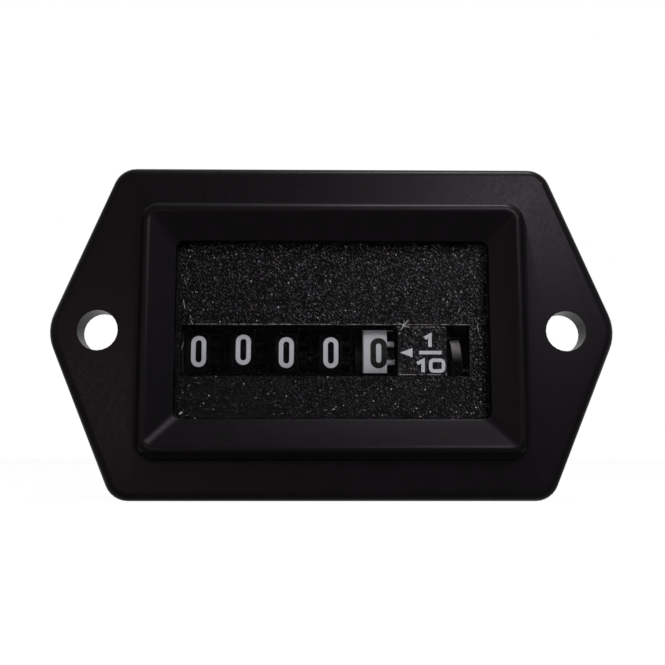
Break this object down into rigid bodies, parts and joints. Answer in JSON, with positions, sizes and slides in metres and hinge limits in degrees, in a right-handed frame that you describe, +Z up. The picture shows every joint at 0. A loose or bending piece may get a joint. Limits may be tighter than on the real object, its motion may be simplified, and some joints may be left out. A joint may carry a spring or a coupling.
{
  "type": "hour meter",
  "caption": "Panel-mount hour meter: hexagonal flange with two screw holes, raised sloping frame, clear window, number-wheel counter, geared stepping motor, and a rear box with blade terminals.",
  "frame": {"origin": "middle of the flange's back face, the plane that lies on the panel", "axes": "+X to the right seen from the front, -Y towards the viewer, +Z up"},
  "size_m": [0.0614, 0.0377, 0.0364],
  "materials": {
    "case_black": "satin moulded",
    "lens_clear": "clear polished",
    "dial_black": "fine moulded grain",
    "frame_dark": "plain moulded",
    "steel": "drawn bright",
    "lamination": "blanked sheet",
    "natural_plastic": "natural moulded",
    "copper_wire": "enamelled wire",
    "board_green": "solder mask",
    "chip_black": "moulded",
    "capacitor_sleeve": "sleeve",
    "resistor_body": "lacquered",
    "terminal_brass": "plain",
    "wheel_white": "moulded",
    "wheel_black": "moulded",
    "magnet_dark": "sintered"
  },
  "bodies": {
    "root": {"case": "case_black", "lens": "lens_clear", "dial_plate": "dial_black", "tenth_plate": "dial_black", "counter_frame": "frame_dark", "bridge_plate": "frame_dark", "wheel_shaft": "steel", "pinion_shaft": "steel", "stator": "lamination", "coil_core": "lamination", "coil_bobbin": "natural_plastic", "coil_winding": "copper_wire", "coil_lead_start": "copper_wire", "coil_lead_end": "copper_wire", "circuit_board": "board_green", "driver_chip": "chip_black", "quartz_crystal": "steel", "capacitor": "capacitor_sleeve", "resistor": "resistor_body", "diode": "chip_black", "terminal_left": "terminal_brass", "terminal_right": "terminal_brass", "rear_cover": "case_black"},
    "thousands_wheel": {"thousands_wheel": "wheel_black"},
    "hundreds_wheel": {"hundreds_wheel": "wheel_black"},
    "tens_wheel": {"tens_wheel": "wheel_black"},
    "units_wheel": {"units_wheel": "wheel_black"},
    "tenths_wheel": {"tenths_wheel": "wheel_white"},
    "transfer_pinion_1": {"transfer_pinion_1": "natural_plastic"},
    "transfer_pinion_2": {"transfer_pinion_2": "natural_plastic"},
    "transfer_pinion_3": {"transfer_pinion_3": "natural_plastic"},
    "transfer_pinion_4": {"transfer_pinion_4": "natural_plastic"},
    "drive_arbor": {"drive_arbor": "steel", "drive_pinion": "natural_plastic", "drive_gear": "natural_plastic"},
    "second_wheel": {"second_wheel": "natural_plastic"},
    "third_wheel": {"third_wheel": "natural_plastic"},
    "rotor": {"rotor_arbor": "natural_plastic", "rotor_magnet": "magnet_dark"},
    "running_indicator": {"running_indicator": "wheel_black"}
  },
  "joints": [
    {"name": "thousands_turn", "type": "hinge", "parent": "root", "child": "thousands_wheel", "pos_m": [-0.0145, 0.00645, -0.0021], "axis": [1, 0, 0], "continuous": true},
    {"name": "hundreds_turn", "type": "hinge", "parent": "root", "child": "hundreds_wheel", "pos_m": [-0.0096, 0.00645, -0.0021], "axis": [1, 0, 0], "continuous": true},
    {"name": "tens_turn", "type": "hinge", "parent": "root", "child": "tens_wheel", "pos_m": [-0.0047, 0.00645, -0.0021], "axis": [1, 0, 0], "continuous": true},
    {"name": "units_turn", "type": "hinge", "parent": "root", "child": "units_wheel", "pos_m": [0.0002, 0.00645, -0.0021], "axis": [1, 0, 0], "continuous": true},
    {"name": "transfer_1_turn", "type": "hinge", "parent": "root", "child": "transfer_pinion_1", "pos_m": [-0.0124, 0.01065, 0.00517], "axis": [1, 0, 0], "continuous": true},
    {"name": "transfer_2_turn", "type": "hinge", "parent": "root", "child": "transfer_pinion_2", "pos_m": [-0.0075, 0.01065, 0.00517], "axis": [1, 0, 0], "continuous": true},
    {"name": "transfer_3_turn", "type": "hinge", "parent": "root", "child": "transfer_pinion_3", "pos_m": [-0.0026, 0.01065, 0.00517], "axis": [1, 0, 0], "continuous": true},
    {"name": "transfer_4_turn", "type": "hinge", "parent": "root", "child": "transfer_pinion_4", "pos_m": [0.0023, 0.01065, 0.00517], "axis": [1, 0, 0], "continuous": true},
    {"name": "third_wheel_turn", "type": "hinge", "parent": "root", "child": "third_wheel", "pos_m": [0.0113, 0.00911, -0.0035], "axis": [1, 0, 0], "continuous": true},
    {"name": "tenths_turn", "type": "hinge", "parent": "root", "child": "tenths_wheel", "pos_m": [0.0051, 0.00645, -0.0021], "axis": [1, 0, 0], "continuous": true},
    {"name": "drive_arbor_turn", "type": "hinge", "parent": "root", "child": "drive_arbor", "pos_m": [0.0089, 0.01406, 0.00145], "axis": [1, 0, 0], "continuous": true},
    {"name": "second_wheel_turn", "type": "hinge", "parent": "root", "child": "second_wheel", "pos_m": [0.0103, 0.0073, 0.00326], "axis": [1, 0, 0], "continuous": true},
    {"name": "rotor_turn", "type": "hinge", "parent": "root", "child": "rotor", "pos_m": [0.0136, 0.01403, -0.00694], "axis": [1, 0, 0], "continuous": true},
    {"name": "indicator_turn", "type": "hinge", "parent": "root", "child": "running_indicator", "pos_m": [0.0138, 0.00316, -0.00423], "axis": [1, 0, 0], "continuous": true}
  ],
  "couplings": [
    {"joint": "transfer_1_turn", "follows": "thousands_turn", "ratio": -2.5},
    {"joint": "transfer_2_turn", "follows": "hundreds_turn", "ratio": -2.5},
    {"joint": "transfer_3_turn", "follows": "tens_turn", "ratio": -2.5},
    {"joint": "transfer_4_turn", "follows": "units_turn", "ratio": -2.5},
    {"joint": "second_wheel_turn", "follows": "third_wheel_turn", "ratio": -0.16667},
    {"joint": "drive_arbor_turn", "follows": "third_wheel_turn", "ratio": 0.027778},
    {"joint": "tenths_turn", "follows": "third_wheel_turn", "ratio": -0.011111},
    {"joint": "rotor_turn", "follows": "third_wheel_turn", "ratio": -5},
    {"joint": "indicator_turn", "follows": "third_wheel_turn", "ratio": -5}
  ]
}
